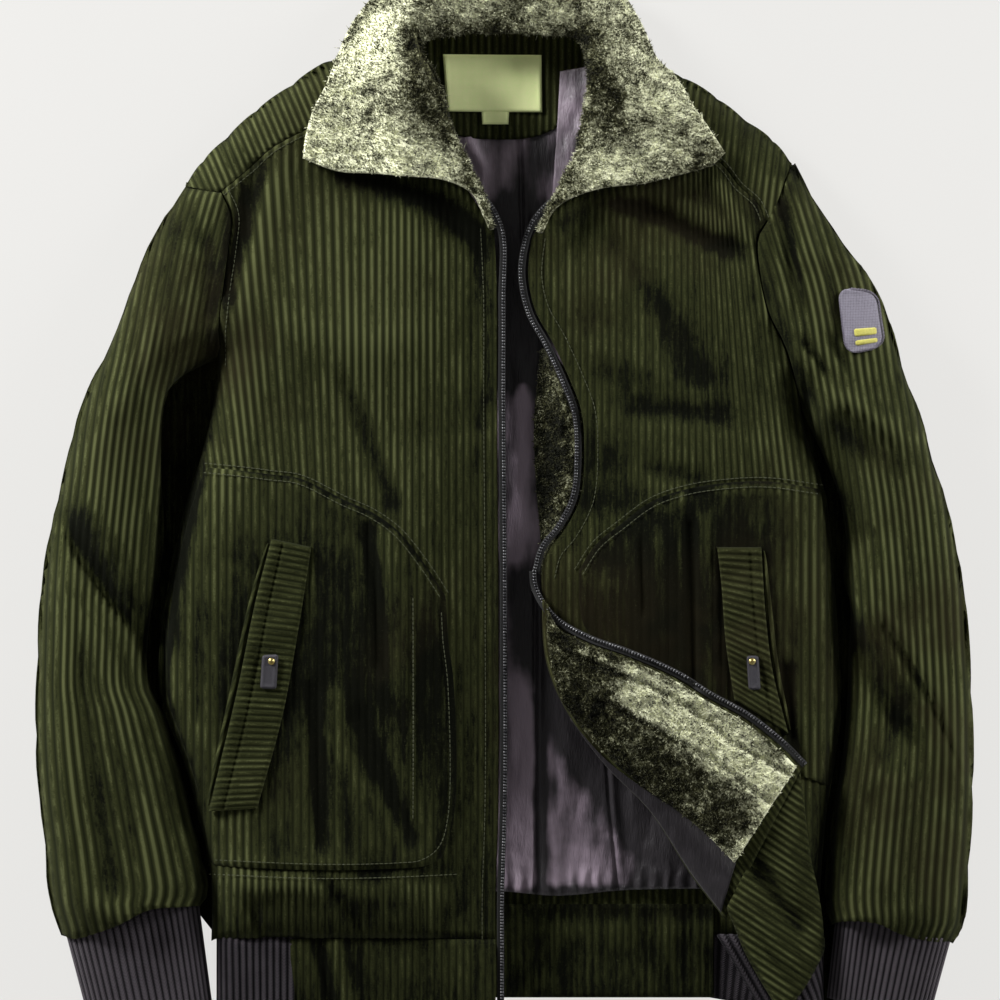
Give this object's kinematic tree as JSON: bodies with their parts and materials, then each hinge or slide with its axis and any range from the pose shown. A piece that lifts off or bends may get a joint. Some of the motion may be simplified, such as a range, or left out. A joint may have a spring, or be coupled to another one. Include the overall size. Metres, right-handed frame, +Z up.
{
  "type": "corduroy jacket",
  "caption": "Lined corduroy jacket with plush collar and facings, ribbed knit cuffs and waist panels, slanting pockets and an open front zip, laid flat on its back.",
  "frame": {"origin": "on the floor under the middle of the laid-out jacket", "axes": "+Z up from the floor it lies on, +Y from hem to collar, +X towards the wearer's left sleeve"},
  "size_m": [0.6496, 0.7492, 0.0518],
  "materials": {
    "corduroy": "dark olive cotton corduroy with raised wales",
    "plush": "mottled olive and pale long-pile plush",
    "lining": "dusky purple satin lining",
    "knit": "charcoal ribbed knit",
    "label": "bare lime-green woven cloth",
    "patch": "grey felt patch with a plain raised motif",
    "tab": "grey-purple woven tab",
    "stud": "small polished brassy stud",
    "zip": "dark zip tape carrying gunmetal teeth",
    "slider": "gunmetal finish"
  },
  "bodies": {
    "garment": {"front_right": "corduroy", "front_left": "corduroy", "shoulder_yoke_right": "corduroy", "shoulder_yoke_left": "corduroy", "back_panel": "corduroy", "sleeve_right": "corduroy", "sleeve_left": "corduroy", "cuff_right": "knit", "cuff_left": "knit", "pocket_panel_right": "corduroy", "pocket_panel_left": "corduroy", "pocket_welt_right": "corduroy", "pocket_welt_left": "corduroy", "pocket_tab_right": "tab", "pocket_tab_left": "tab", "pocket_stud_right": "stud", "pocket_stud_left": "stud", "front_left_turnback": "corduroy", "facing_left_lower": "plush", "facing_left_upper": "plush", "lining_front_left": "lining", "zip_tape_right": "zip", "zip_tape_left": "zip", "zip_tape_left_turned": "zip", "collar": "plush", "lining_back": "lining", "back_neck_facing": "corduroy", "neck_label": "label", "size_tab": "label", "waistband_right": "corduroy", "waistband_left": "corduroy", "waistband_back": "corduroy", "rib_insert_right": "knit", "rib_insert_left": "knit", "arm_patch": "patch", "zip_slider": "slider"},
    "pull_tab": {"zip_pull_tab": "slider"}
  },
  "joints": [
    {"name": "pull_tab_hinge", "type": "hinge", "parent": "garment", "child": "pull_tab", "pos_m": [-0.00139, -0.35463, 0.02357], "axis": [-1, 0, 0], "range_deg": [0, 175]}
  ]
}
